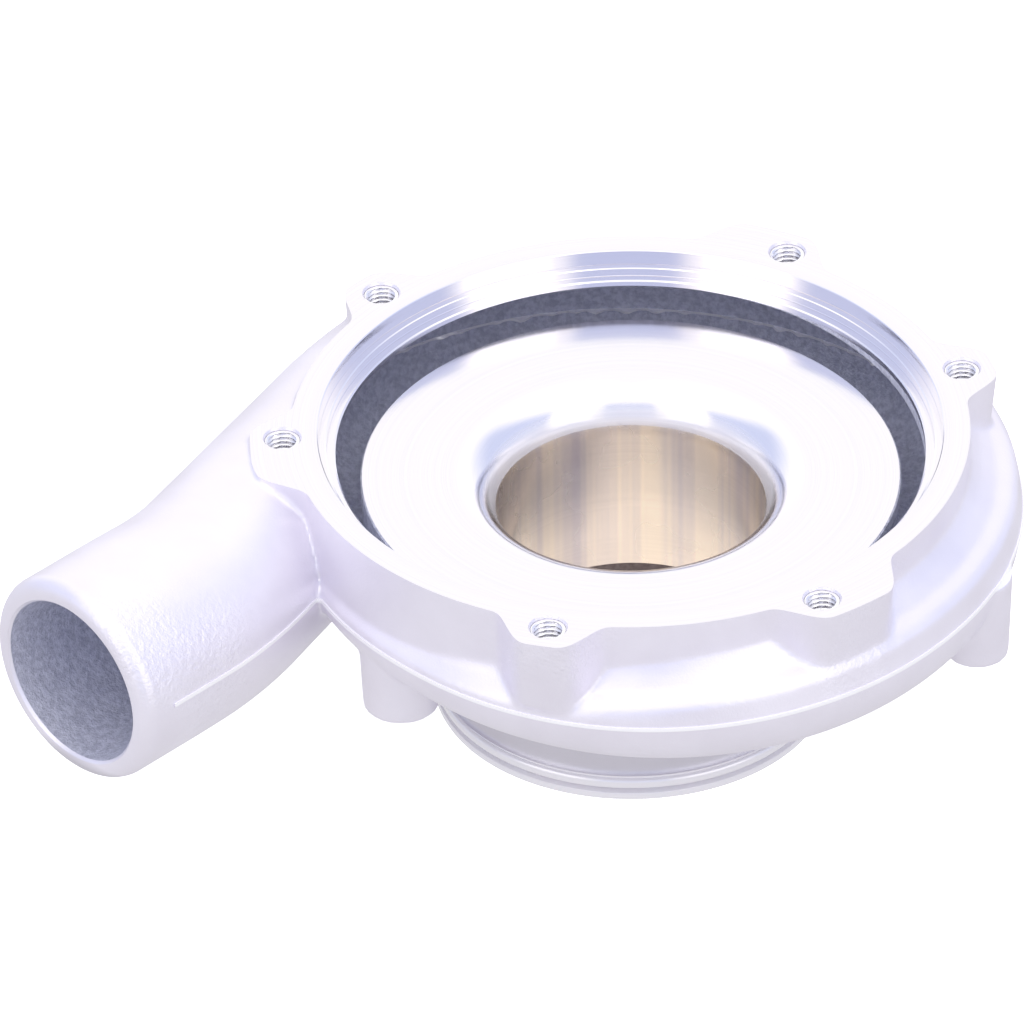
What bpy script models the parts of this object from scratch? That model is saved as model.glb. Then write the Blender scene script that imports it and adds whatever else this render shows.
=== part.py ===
"""Compressor cover of a centrifugal blower or turbocharger: one light-alloy casting that stands on its inlet snout,
with its bolting flange up, and a steel thread insert in each of its six bolting bosses. Metres, +Z up. The origin is
on the resting plane, under the middle of the bounding box. Heights are counted down from the flange face as depths."""

import math

import bmesh
import bpy
from mathutils import Vector

MM = 0.001

# Where the compressor axis stands, and the overall height.
AXIS_X = 28.4 * MM
AXIS_Y = -3.4 * MM
HEIGHT = 76.1 * MM

# Bolting flange.
BOLT_CIRCLE_R = 84.0 * MM
PAIR_ANGLES = (38.7, 158.7, 278.7)
HALF_PAIR = 23.0
BOLT_ANGLES = tuple(pair + side for pair in PAIR_ANGLES for side in (-HALF_PAIR, HALF_PAIR))
FLANGE_R = 82.0 * MM
LOBE_REACH = 91.8 * MM
LOBE_REACH_AT_FOOT = 89.4 * MM
# Each pair has a narrow lobe on its first bolt and a wide, shifted one on its second:
# angle from the pair's middle, half of the flat top, half of the whole lobe.
LOBES = ((-23.0, 2.4, 10.0), (27.0, 5.0, 13.2))
FLANGE_EDGE = 1.4 * MM
BOSS_DEPTH = 19.6 * MM
OUTLINE_STEPS = 144

# Register bore, diffuser wall and the slot between them.
REGISTER_STEPS = ((75.5, 0.0), (75.4, 3.9), (73.5, 3.9), (73.5, 6.1), (71.3, 6.1))
LIP_R = 71.3 * MM
DISC_R = 65.4 * MM
DISC_DEPTH = 13.5 * MM
DISC_NOSE = 3.8 * MM
ROOF = ((71.8, 7.4), (74.5, 9.2), (77.5, 12.4), (86.0, 16.0), (94.0, 20.5), (101.0, 24.0))
SLOT_DEPTH = 26.0 * MM
CLEAR = 0.4 * MM

# Inducer bore and inlet snout.
THROAT_R = 32.5 * MM
FLARE_R = 11.8 * MM
FLARE_STEPS = 5
MOUTH_R = 41.5 * MM
MOUTH_CONE = 5.0 * MM
MOUTH_DEPTH = 63.8 * MM
SNOUT_R = 47.6 * MM
# Hose bead: radius and height above the snout's end, from its top down.
BEAD = ((47.6, 5.2), (48.6, 4.8), (48.6, 3.6), (46.6, 3.2), (46.6, 2.6), (48.6, 2.2), (48.6, 0.6), (48.0, 0.0))
WEB_R = 66.0 * MM
WEB_DEPTH = 30.0 * MM
WEB_FALL = 4.0 * MM
TURNING_STOCK = 3.0 * MM

# Volute: angles in degrees round the axis, growing with the flow.
PARTING_DEPTH = 23.5 * MM
CREST_DEPTHS = ((183.0, 19.4), (250.0, 19.2), (300.0, 16.0), (510.25, 15.4))
SHOULDER_DEPTHS = ((183.0, 14.0), (244.0, 13.8), (280.0, 9.0), (330.0, 7.2), (510.25, 7.2))
TONGUE_ANGLE = 183.0
ROUNDING_ANGLE = 400.0
EXIT_ANGLE = 510.25
VOLUTE_STEPS = 36
TONGUE_HALF_WIDTH = 3.4 * MM
TONGUE_BELLY = 4.2 * MM
BELLY_GROWTH = 24.6 * MM
# The top of the volute inside the flange's wall: share of the way out to that wall, and depth under the shoulder.
INNER_SLOPE = ((0.0, 8.0), (0.15, 4.0), (0.45, 1.0), (0.75, 0.0), (1.0, 0.0))
# The top outside it: share of the way out to the crest, and share of the way down to it.
OUTER_SLOPE = ((0.30, 0.42), (0.65, 0.78))
# From the crest to the parting line: distance inside the parting line, and depth under the crest.
RIM = ((2.8, -0.4), (1.1, 1.2))
RIM_FOOT = 2.0 * MM
RIM_FOOT_INSET = 0.4 * MM
SHOULDER_INSET = 0.6 * MM
OUTER_RADII = (
    (183.0, 83.2), (207.0, 84.2), (229.0, 85.5), (249.0, 88.7), (270.0, 91.6), (290.0, 93.0), (321.0, 93.9),
    (357.0, 95.7), (430.0, 97.0), (510.25, 99.95),
)
WALL = 4.2 * MM
CHANNEL_TONGUE_HALF = 2.6 * MM
CHANNEL_MIDDLE = 28.2 * MM
CHANNEL_LEAST_HEIGHT = 5.0 * MM
CHANNEL_RISE = 1.15
CHANNEL_ROOF = 8.0 * MM
GROWTH = 0.62
LOWER_POINTS = 10

# Discharge pipe.
PIPE_DEPTH = 26.7 * MM
PIPE_OFFSET = 73.8 * MM
PIPE_R = 25.45 * MM
SPIGOT_R = 26.8 * MM
SPIGOT_BORE_R = 21.5 * MM
SPIGOT_ROUND = 4.0 * MM
SPIGOT_ROUND_STEPS = 3
FIRST_RUN = 70.0 * MM
BEND_RUN = 22.0 * MM
BEND_ANGLE = 15.2
LAST_RUN = 32.1 * MM
BEND_STEPS = 5

# Cast feet under the volute: angle, radius from the axis, foot radius.
FEET = ((219.9, 73.1 * MM, 9.2 * MM), (340.6, 87.9 * MM, 7.7 * MM))
FOOT_DEPTH = 47.0 * MM
FOOT_ROOT_DEPTH = 24.0 * MM
FOOT_DRAFT = 1.08
FOOT_EDGE = 1.5 * MM

# Tapped holes and thread inserts.
HOLE_R = 4.5 * MM
HOLE_DEPTH = 14.0 * MM
DRILL_POINT = 0.4
INSERT_OUTER_R = 4.2 * MM
INSERT_INNER_R = 3.4 * MM
INSERT_TOP = 0.8 * MM
INSERT_DEPTH = 12.0 * MM

# How far a cutter runs past a face, and how many sides round shapes have.
OVERRUN = 5.0 * MM
ROUND = 72
SMALL_ROUND = 20


def clear_scene():
    for obj in list(bpy.data.objects):
        bpy.data.objects.remove(obj)


def material(name, colour, metallic, roughness):
    made = bpy.data.materials.new(name)
    made.use_nodes = True
    shader = made.node_tree.nodes["Principled BSDF"]
    shader.inputs["Base Color"].default_value = (*colour, 1.0)
    shader.inputs["Metallic"].default_value = metallic
    shader.inputs["Roughness"].default_value = roughness
    return made


def solid(name, *bodies, closed_round=False):
    """A mesh of closed bodies, each through rings of points. A ring of one point is a pole, and closed_round joins
    each body's last ring to its first."""
    bm = bmesh.new()
    for rings in bodies:
        made = [[bm.verts.new(point) for point in ring] for ring in rings]
        pairs = list(zip(made, made[1:]))
        if closed_round:
            pairs.append((made[-1], made[0]))
        for low, high in pairs:
            count = max(len(low), len(high))
            for i in range(count):
                j = (i + 1) % count
                corners = [low[i % len(low)], low[j % len(low)], high[j % len(high)], high[i % len(high)]]
                bm.faces.new(dict.fromkeys(corners))
        for ring in () if closed_round else (made[0], made[-1]):
            if len(ring) > 2:
                bm.faces.new(ring)
    bmesh.ops.recalc_face_normals(bm, faces=bm.faces)
    mesh = bpy.data.meshes.new(name)
    bm.to_mesh(mesh)
    bm.free()
    obj = bpy.data.objects.new(name, mesh)
    bpy.context.collection.objects.link(obj)
    return obj


def helper(obj):
    obj.hide_render = True
    obj.display_type = "WIRE"
    return obj


def at(angle, radius, depth):
    """A point from its angle in degrees and radius about the compressor axis, and its depth under the flange face."""
    turn = math.radians(angle)
    return Vector((AXIS_X + radius * math.cos(turn), AXIS_Y + radius * math.sin(turn), HEIGHT - depth))


def turned(profile, steps=ROUND, place=None):
    """Rings of a body turned about a vertical axis, from (radius, depth) pairs."""
    x, y = (place.x, place.y) if place else (AXIS_X, AXIS_Y)
    rings = []
    for radius, depth in profile:
        turns = [math.tau * i / steps for i in range(steps if radius else 1)]
        rings.append([Vector((x + radius * math.cos(a), y + radius * math.sin(a), HEIGHT - depth)) for a in turns])
    return rings


def blend(low, high, x):
    """0 below low, 1 above high, and smooth between."""
    t = min(1.0, max(0.0, (x - low) / (high - low)))
    return t * t * (3.0 - 2.0 * t)


def between(table, x):
    """Reads a table of (x, value) pairs, with a smooth curve between its points."""
    for (x0, v0), (x1, v1) in zip(table, table[1:]):
        if x <= x1:
            break
    before = [pair for pair in table if pair[0] < x0] or [(x0, v0)]
    after = [pair for pair in table if pair[0] > x1] or [(x1, v1)]
    slope0 = (v1 - before[-1][1]) / (x1 - before[-1][0])
    slope1 = (after[0][1] - v0) / (after[0][0] - x0)
    t = (x - x0) / (x1 - x0)
    run = x1 - x0
    return (
        v0 * (2 * t**3 - 3 * t**2 + 1)
        + v1 * (3 * t**2 - 2 * t**3)
        + run * slope0 * (t**3 - 2 * t**2 + t)
        + run * slope1 * (t**3 - t**2)
    )


def flange_outline(base, reach, depth):
    """The flange's edge: a round plate with a lobe at each bolt."""
    points = []
    for i in range(OUTLINE_STEPS):
        angle = 360.0 * i / OUTLINE_STEPS
        lobe = 0.0
        for pair in PAIR_ANGLES:
            for shift, half_top, half_lobe in LOBES:
                off = abs((angle - pair - shift + 180.0) % 360.0 - 180.0)
                lobe = max(lobe, 1.0 - blend(half_top, half_lobe, off))
        points.append(at(angle, base + (reach - base) * lobe, depth))
    return points


def flange():
    inset = FLANGE_EDGE
    return solid(
        "flange_block",
        [
            flange_outline(FLANGE_R - inset, LOBE_REACH - inset, 0.0),
            flange_outline(FLANGE_R, LOBE_REACH, inset),
            flange_outline(FLANGE_R, LOBE_REACH_AT_FOOT, BOSS_DEPTH),
        ],
    )


def growth(angle):
    return ((angle - TONGUE_ANGLE) / (EXIT_ANGLE - TONGUE_ANGLE)) ** GROWTH


def outer_section(angle):
    """(radius, depth) pairs round the outside of the volute at this angle."""
    grown = growth(angle)
    out = between(OUTER_RADII, angle) * MM
    half_width = TONGUE_HALF_WIDTH + (PIPE_R - TONGUE_HALF_WIDTH) * grown
    lower = TONGUE_BELLY + BELLY_GROWTH * grown
    inner = out - 2.0 * half_width
    middle = out - half_width
    section = []
    for i in range(LOWER_POINTS + 1):
        turn = math.pi * i / LOWER_POINTS
        section.append((middle + half_width * math.cos(turn), PARTING_DEPTH + lower * math.sin(turn)))
    crest = between(CREST_DEPTHS, angle) * MM
    crest_in = out - RIM[0][0] * MM
    wall = FLANGE_R - SHOULDER_INSET
    shoulder = between(SHOULDER_DEPTHS, angle) * MM
    for share, under in INNER_SLOPE:
        section.append((inner + share * (wall - inner), shoulder + under * MM))
    for share, fall in OUTER_SLOPE:
        section.append((wall + share * (crest_in - wall), shoulder + fall * (crest - shoulder)))
    for inside, under in RIM:
        section.append((out - inside * MM, crest + under * MM))
    section.append((out - RIM_FOOT_INSET, PARTING_DEPTH - RIM_FOOT))
    # Towards the exit the section becomes the round pipe.
    rounding = blend(ROUNDING_ANGLE, EXIT_ANGLE, angle)
    upper = len(section) - LOWER_POINTS
    for i, (radius, depth) in enumerate(section):
        if i <= LOWER_POINTS:
            turn = math.pi * i / LOWER_POINTS
        else:
            turn = math.pi * (1.0 + (i - LOWER_POINTS) / upper)
        round_radius = PIPE_OFFSET + PIPE_R * math.cos(turn)
        round_depth = PIPE_DEPTH + PIPE_R * math.sin(turn)
        section[i] = (
            radius + (round_radius - radius) * rounding,
            depth + (round_depth - depth) * rounding,
        )
    return section


def channel_section(angle):
    """(radius, depth) pairs round the flow channel at this angle."""
    grown = growth(angle)
    out = between(OUTER_RADII, angle) * MM - WALL
    half_width = CHANNEL_TONGUE_HALF + (SPIGOT_BORE_R - CHANNEL_TONGUE_HALF) * grown
    bottom = PARTING_DEPTH + TONGUE_BELLY + BELLY_GROWTH * grown - WALL
    top = max(CHANNEL_ROOF, CHANNEL_MIDDLE - CHANNEL_RISE * half_width)
    top = min(top, bottom - CHANNEL_LEAST_HEIGHT)
    rounding = blend(ROUNDING_ANGLE, EXIT_ANGLE, angle)
    top += (PIPE_DEPTH - SPIGOT_BORE_R - top) * rounding
    bottom += (PIPE_DEPTH + SPIGOT_BORE_R - bottom) * rounding
    middle = out - half_width
    middle += (PIPE_OFFSET - middle) * rounding
    section = []
    for i in range(SMALL_ROUND):
        turn = math.tau * i / SMALL_ROUND
        section.append(
            (middle + half_width * math.cos(turn), 0.5 * (top + bottom) + 0.5 * (bottom - top) * math.sin(turn))
        )
    return section


def direction(heading):
    way = math.radians(heading)
    return Vector((math.cos(way), math.sin(way), 0.0))


def pipe_path():
    """(point, heading in degrees) along the pipe's axis, from the volute's exit to the spigot's end."""
    heading = EXIT_ANGLE + 90.0
    point = at(EXIT_ANGLE, PIPE_OFFSET, PIPE_DEPTH)
    path = [(point.copy(), heading)]

    def walk(run, turn=0.0):
        nonlocal heading, point
        heading += 0.5 * turn
        point = point + run * direction(heading)
        heading += 0.5 * turn
        path.append((point.copy(), heading))

    walk(0.5 * FIRST_RUN)
    walk(0.5 * FIRST_RUN)
    for _ in range(BEND_STEPS):
        walk(BEND_RUN / BEND_STEPS, -BEND_ANGLE / BEND_STEPS)
    walk(LAST_RUN)
    return path


def pipe_ring(point, heading, radius, turns):
    """A round section of the pipe, whose first point lies on the side away from the compressor axis."""
    side = direction(heading - 90.0)
    down = Vector((0.0, 0.0, -1.0))
    return [point + radius * (math.cos(t) * side + math.sin(t) * down) for t in turns]


def volute_angles():
    step = (EXIT_ANGLE - TONGUE_ANGLE) / VOLUTE_STEPS
    return [TONGUE_ANGLE + step * i for i in range(VOLUTE_STEPS + 1)]


def scroll():
    """The outside of the volute and its pipe, as one swept body that crosses itself at the tongue."""
    rings = [[at(angle, radius, depth) for radius, depth in outer_section(angle)] for angle in volute_angles()]
    count = len(rings[0])
    upper = count - LOWER_POINTS
    turns = [math.pi * i / LOWER_POINTS for i in range(LOWER_POINTS + 1)]
    turns += [math.pi * (1.0 + i / upper) for i in range(1, upper)]
    path = pipe_path()
    end, heading = path.pop()
    for i, (point, way) in enumerate(path):
        if i:
            share = i / (len(path) - 1)
            rings.append(pipe_ring(point, way, PIPE_R + (SPIGOT_R - PIPE_R) * share, turns))
    for i in range(SPIGOT_ROUND_STEPS + 1):
        turn = 0.5 * math.pi * (1.0 - i / SPIGOT_ROUND_STEPS)
        back = SPIGOT_ROUND * (1.0 - math.cos(turn))
        radius = SPIGOT_R - SPIGOT_ROUND * (1.0 - math.sin(turn))
        rings.append(pipe_ring(end - back * direction(heading), heading, radius, turns))
    return solid("scroll", rings)


def channel():
    """The flow channel from the tongue round to the exit and out through the pipe, clear of the diffuser wall."""
    rings = [[at(angle, radius, depth) for radius, depth in channel_section(angle)] for angle in volute_angles()]
    turns = [math.tau * i / SMALL_ROUND for i in range(SMALL_ROUND)]
    path = pipe_path()
    for point, heading in path[1:]:
        rings.append(pipe_ring(point, heading, SPIGOT_BORE_R, turns))
    end, heading = path[-1]
    rings.append(pipe_ring(end + OVERRUN * direction(heading), heading, SPIGOT_BORE_R, turns))
    tube = solid("channel", rings)
    guard = [
        (0.0, DISC_DEPTH + DISC_NOSE),
        (DISC_R + CLEAR, DISC_DEPTH + DISC_NOSE),
        (DISC_R + CLEAR, ROOF[0][1] * MM),
    ]
    guard += [(radius * MM, depth * MM) for radius, depth in ROOF]
    guard += [(ROOF[-1][0] * MM, -OVERRUN), (0.0, -OVERRUN)]
    cut(tube, solid("channel_guard", turned(guard)), "DIFFERENCE", crosses_itself=True)
    return tube


def register_and_bore():
    """All that is turned out of the middle: the stepped register, the slot down to the flow channel round the diffuser
    wall's rim, the flared inducer bore and the inlet's mouth."""
    profile = [(0.0, -OVERRUN), (REGISTER_STEPS[0][0] * MM, -OVERRUN)]
    profile += [(radius * MM, depth * MM) for radius, depth in REGISTER_STEPS]
    profile += [(LIP_R, SLOT_DEPTH), (DISC_R, SLOT_DEPTH), (DISC_R, DISC_DEPTH)]
    flare_centre = THROAT_R + FLARE_R
    for i in range(FLARE_STEPS + 1):
        turn = 0.5 * math.pi * i / FLARE_STEPS
        radius = flare_centre - FLARE_R * math.sin(turn)
        profile.append((radius, DISC_DEPTH + FLARE_R * (1.0 - math.cos(turn))))
    profile += [
        (THROAT_R, MOUTH_DEPTH),
        (MOUTH_R, MOUTH_DEPTH + MOUTH_CONE),
        (MOUTH_R, HEIGHT + OVERRUN),
        (0.0, HEIGHT + OVERRUN),
    ]
    return solid("register_and_bore", turned(profile))


def snout():
    """The inlet snout with its hose bead, and the wall that carries the diffuser."""
    top = DISC_DEPTH - TURNING_STOCK
    profile = [(0.0, top), (WEB_R, top), (WEB_R, WEB_DEPTH), (SNOUT_R, WEB_DEPTH + WEB_FALL)]
    profile += [(radius * MM, HEIGHT - above * MM) for radius, above in BEAD]
    profile.append((0.0, HEIGHT))
    return solid("volute_cover", turned(profile))


def feet():
    bodies = []
    for angle, radius, foot_r in FEET:
        profile = [
            (0.0, FOOT_ROOT_DEPTH),
            (foot_r * FOOT_DRAFT, FOOT_ROOT_DEPTH),
            (foot_r, FOOT_DEPTH - FOOT_EDGE),
            (foot_r - FOOT_EDGE, FOOT_DEPTH),
            (0.0, FOOT_DEPTH),
        ]
        bodies.append(turned(profile, SMALL_ROUND, at(angle, radius, 0.0)))
    return solid("feet", *bodies)


def bolt_holes():
    profile = [
        (0.0, -OVERRUN),
        (HOLE_R, -OVERRUN),
        (HOLE_R, HOLE_DEPTH),
        (0.0, HOLE_DEPTH + DRILL_POINT * HOLE_R),
    ]
    return solid("bolt_holes", *[turned(profile, SMALL_ROUND, at(a, BOLT_CIRCLE_R, 0.0)) for a in BOLT_ANGLES])


def cut(target, tool, operation, crosses_itself=False):
    helper(tool)
    step = target.modifiers.new(tool.name, "BOOLEAN")
    step.operation = operation
    step.object = tool
    step.solver = "EXACT"
    step.use_self = crosses_itself


def cover(metal):
    body = snout()
    body.data.materials.append(metal)
    cut(body, scroll(), "UNION", crosses_itself=True)
    cut(body, flange(), "UNION")
    cut(body, feet(), "UNION")
    cut(body, bolt_holes(), "DIFFERENCE")
    cut(body, channel(), "DIFFERENCE", crosses_itself=True)
    cut(body, register_and_bore(), "DIFFERENCE")


def thread_inserts(steel):
    profile = [
        (INSERT_INNER_R, INSERT_TOP),
        (INSERT_OUTER_R, INSERT_TOP),
        (INSERT_OUTER_R, INSERT_DEPTH),
        (INSERT_INNER_R, INSERT_DEPTH),
    ]
    for i, angle in enumerate(BOLT_ANGLES, start=1):
        rings = turned(profile, SMALL_ROUND, at(angle, BOLT_CIRCLE_R, 0.0))
        insert = solid(f"thread_insert_{i}", rings, closed_round=True)
        insert.data.materials.append(steel)


def main():
    clear_scene()
    cover(material("cast_alloy", (0.72, 0.71, 0.76), 1.0, 0.45))
    thread_inserts(material("insert_steel", (0.62, 0.62, 0.64), 1.0, 0.3))


main()
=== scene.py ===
"""The looks of a compressor cover: one light-alloy casting with turned faces and six wire thread inserts,
standing on its inlet snout on a pale floor. The casting is shaped soft, as it leaves the mould, and then cut with
crisp tools, as it is machined. Metres, +Z up. Radii, angles and depths are about the compressor's axis, and a
depth is counted down from the flange face."""

import math

import bpy
import numpy as np
from mathutils import Matrix, Vector, noise


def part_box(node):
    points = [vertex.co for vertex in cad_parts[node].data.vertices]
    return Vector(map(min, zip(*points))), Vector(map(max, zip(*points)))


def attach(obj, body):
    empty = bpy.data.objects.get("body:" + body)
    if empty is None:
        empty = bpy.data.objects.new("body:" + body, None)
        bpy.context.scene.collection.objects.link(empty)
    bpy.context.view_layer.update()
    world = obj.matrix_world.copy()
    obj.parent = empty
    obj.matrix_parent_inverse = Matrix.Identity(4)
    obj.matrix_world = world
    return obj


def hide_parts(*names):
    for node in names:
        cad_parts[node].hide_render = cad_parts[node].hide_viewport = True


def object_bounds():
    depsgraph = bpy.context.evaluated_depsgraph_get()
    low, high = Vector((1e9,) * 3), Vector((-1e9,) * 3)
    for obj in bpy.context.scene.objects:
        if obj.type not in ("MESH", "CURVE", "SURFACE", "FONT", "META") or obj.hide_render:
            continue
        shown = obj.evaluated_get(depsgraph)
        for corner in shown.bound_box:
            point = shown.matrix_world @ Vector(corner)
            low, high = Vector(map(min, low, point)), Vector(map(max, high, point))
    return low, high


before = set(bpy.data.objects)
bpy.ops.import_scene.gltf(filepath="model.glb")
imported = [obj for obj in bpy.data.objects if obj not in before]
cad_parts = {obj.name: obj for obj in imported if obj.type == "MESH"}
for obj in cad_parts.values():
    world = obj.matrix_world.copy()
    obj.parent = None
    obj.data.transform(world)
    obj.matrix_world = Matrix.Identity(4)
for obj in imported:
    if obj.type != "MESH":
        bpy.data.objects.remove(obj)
CAD_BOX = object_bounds()

MM = 0.001

# Driving places, from the frame.
INSERTS = sorted(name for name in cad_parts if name.startswith("thread_insert_"))
HOLE_PLACES = [0.5 * (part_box(name)[0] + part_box(name)[1]) for name in INSERTS]
AXIS = sum((place for place in HOLE_PLACES), Vector()) / len(HOLE_PLACES)
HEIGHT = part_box("volute_cover")[1].z
PAIR_ANGLES = (38.7, 158.7, 278.7)

# How fine the meshes are.
VOXEL = 0.7 * MM
CHANNEL_VOXEL = 1.2 * MM
ROUND = 288
HOLE_ROUND = 40
BLANK_PASSES = 9
CHANNEL_PASSES = 4
# Edges sharper than this many degrees stay crisp.
COVER_CREASE = 28.0
INSERT_CREASE = 30.0
# What the blank has to spare beyond a face that is cut.
STOCK = 3.0 * MM
# Half the side of a block that cuts everything past a plane, and its depth.
BLOCK = 300.0 * MM
SQUARE = ((-1, -1), (1, -1), (1, 1), (-1, 1))


# ---------------------------------------------------------------- mesh tools


def new_object(name, points, faces):
    mesh = bpy.data.meshes.new(name)
    mesh.from_pydata([tuple(p) for p in points], [], faces)
    mesh.validate()
    mesh.update()
    obj = bpy.data.objects.new(name, mesh)
    bpy.context.scene.collection.objects.link(obj)
    return obj


def lofted(name, bodies, closed_round=False):
    """Closed bodies, each through rings of points. A ring of one point is a pole. closed_round joins each body's
    last ring to its first."""
    points = []
    faces = []
    for rings in bodies:
        starts = []
        for ring in rings:
            starts.append(len(points))
            points.extend(ring)
        order = list(range(len(rings)))
        pairs = list(zip(order, order[1:]))
        if closed_round:
            pairs.append((order[-1], 0))
        for a, b in pairs:
            na, nb = len(rings[a]), len(rings[b])
            for i in range(max(na, nb)):
                j = i + 1
                corners = [
                    starts[a] + i % na,
                    starts[a] + j % na,
                    starts[b] + j % nb,
                    starts[b] + i % nb,
                ]
                faces.append(tuple(dict.fromkeys(corners)))
        if not closed_round:
            for k, flip in ((0, True), (len(rings) - 1, False)):
                count = len(rings[k])
                if count > 2:
                    cap = [starts[k] + i for i in range(count)]
                    faces.append(tuple(reversed(cap)) if flip else tuple(cap))
    obj = new_object(name, points, faces)
    if signed_volume(obj) < 0.0:
        obj.data.flip_normals()
    return obj


def signed_volume(obj):
    mesh = obj.data
    mesh.calc_loop_triangles()
    points = np.empty(len(mesh.vertices) * 3)
    mesh.vertices.foreach_get("co", points)
    corners = np.empty(len(mesh.loop_triangles) * 3, np.int32)
    mesh.loop_triangles.foreach_get("vertices", corners)
    triangles = points.reshape(-1, 3)[corners.reshape(-1, 3)]
    return float(np.linalg.det(triangles).sum())


def apply_modifiers(obj):
    graph = bpy.context.evaluated_depsgraph_get()
    made = bpy.data.meshes.new_from_object(obj.evaluated_get(graph))
    obj.modifiers.clear()
    old = obj.data
    obj.data = made
    bpy.data.meshes.remove(old)
    return obj


def remeshed(obj, voxel, passes):
    """Joins the bodies of obj into one skin and rounds its edges and corners, as a mould does."""
    remesh = obj.modifiers.new("skin", "REMESH")
    remesh.mode = "VOXEL"
    remesh.voxel_size = voxel
    smooth = obj.modifiers.new("rounded", "SMOOTH")
    smooth.factor = 0.5
    smooth.iterations = passes
    return apply_modifiers(obj)


def joined(name, objects):
    """One object out of several whose meshes may overlap."""
    points = []
    faces = []
    for obj in objects:
        start = len(points)
        points += [v.co.copy() for v in obj.data.vertices]
        faces += [tuple(start + i for i in polygon.vertices) for polygon in obj.data.polygons]
        bpy.data.objects.remove(obj)
    return new_object(name, points, faces)


def boolean(target, tool, operation):
    step = target.modifiers.new(tool.name, "BOOLEAN")
    step.operation = operation
    step.object = tool
    step.solver = "MANIFOLD"
    step.material_mode = "TRANSFER"
    apply_modifiers(target)
    bpy.data.objects.remove(tool)
    return target


def give_skin(obj, skin):
    """Makes skin the only material of obj."""
    obj.data.materials.clear()
    obj.data.materials.append(skin)
    obj.data.polygons.foreach_set("material_index", np.zeros(len(obj.data.polygons), np.int32))


def shade_smooth(obj, crease):
    obj.data.polygons.foreach_set("use_smooth", np.ones(len(obj.data.polygons), bool))
    obj.data.set_sharp_from_angle(angle=math.radians(crease))


def at(angle, radius, depth):
    turn = math.radians(angle)
    return Vector((AXIS.x + radius * math.cos(turn), AXIS.y + radius * math.sin(turn), HEIGHT - depth))


def level_ring(place, radius, depth, turns):
    z = HEIGHT - depth
    return [Vector((place.x + radius * math.cos(t), place.y + radius * math.sin(t), z)) for t in turns]


def full_turn(steps):
    return [math.tau * i / steps for i in range(steps)]


def direction(heading):
    way = math.radians(heading)
    return Vector((math.cos(way), math.sin(way), 0.0))


def turned(profile, steps=ROUND, place=None):
    """Rings of a body turned about a vertical axis, from (radius, depth) pairs."""
    middle = place or AXIS
    return [level_ring(middle, radius, depth, full_turn(steps if radius else 1)) for radius, depth in profile]


def blend(low, high, x):
    t = min(1.0, max(0.0, (x - low) / (high - low)))
    return t * t * (3.0 - 2.0 * t)


def between(table, x):
    """Reads a table of (x, value) pairs, with a smooth curve between its points."""
    for (x0, v0), (x1, v1) in zip(table, table[1:]):
        if x <= x1:
            break
    before = [pair for pair in table if pair[0] < x0] or [(x0, v0)]
    after = [pair for pair in table if pair[0] > x1] or [(x1, v1)]
    slope0 = (v1 - before[-1][1]) / (x1 - before[-1][0])
    slope1 = (after[0][1] - v0) / (after[0][0] - x0)
    t = (x - x0) / (x1 - x0)
    run = x1 - x0
    return (
        v0 * (2 * t**3 - 3 * t**2 + 1)
        + v1 * (3 * t**2 - 2 * t**3)
        + run * slope0 * (t**3 - 2 * t**2 + t)
        + run * slope1 * (t**3 - t**2)
    )


# ---------------------------------------------------------------- the cast blank

FLANGE_R = 82.0 * MM
LOBE_REACH = 91.8 * MM
LOBE_REACH_AT_FOOT = 89.6 * MM
# Angle from a pair's middle, half of the lobe's flat top, half of the whole lobe.
LOBES = ((-23.0, 2.4, 10.0), (27.0, 5.0, 13.2))
BOSS_DEPTH = 20.5 * MM
OUTLINE_STEPS = 720

PARTING_DEPTH = 23.5 * MM
CREST_DEPTHS = ((183.0, 19.4), (250.0, 19.2), (300.0, 16.0), (510.25, 15.4))
SHOULDER_DEPTHS = ((183.0, 14.0), (244.0, 13.8), (280.0, 9.0), (330.0, 7.2), (510.25, 7.2))
TONGUE_ANGLE = 183.0
ROUNDING_ANGLE = 400.0
EXIT_ANGLE = 510.25
VOLUTE_STEPS = 160
TONGUE_HALF_WIDTH = 3.4 * MM
TONGUE_BELLY = 4.2 * MM
BELLY_GROWTH = 24.6 * MM
INNER_SLOPE = ((0.0, 8.0), (0.15, 4.0), (0.45, 1.0), (0.75, 0.0), (1.0, 0.0))
OUTER_SLOPE = ((0.30, 0.42), (0.65, 0.78))
RIM = ((2.8, -0.4), (1.1, 1.2))
RIM_FOOT = 2.0 * MM
RIM_FOOT_INSET = 0.4 * MM
SHOULDER_INSET = 0.6 * MM
OUTER_RADII = (
    (183.0, 82.5), (207.0, 83.5), (229.0, 84.8), (249.0, 88.0), (270.0, 90.9), (290.0, 92.3), (321.0, 93.2),
    (357.0, 95.0), (430.0, 96.3), (510.25, 99.25),
)
GROWTH = 0.62
LOWER_POINTS = 36

PIPE_DEPTH = 26.7 * MM
PIPE_OFFSET = 73.8 * MM
PIPE_R = 25.45 * MM
SPIGOT_R = 26.6 * MM
SPIGOT_BORE_R = 21.1 * MM
FIRST_RUN = 70.0 * MM
BEND_RUN = 22.0 * MM
BEND_ANGLE = 15.2
LAST_RUN = 32.1 * MM
BEND_STEPS = 12
RUN_STEPS = 8

SNOUT_R = 47.6 * MM
BEAD_STOCK = 2.2 * MM
BEAD_STOCK_TOP = 7.4 * MM
BEAD_STOCK_RISE = 1.0 * MM
WEB_R = 66.0 * MM
WEB_DEPTH = 30.0 * MM
WEB_FALL = 4.0 * MM
WEB_TOP = 9.0 * MM

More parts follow.
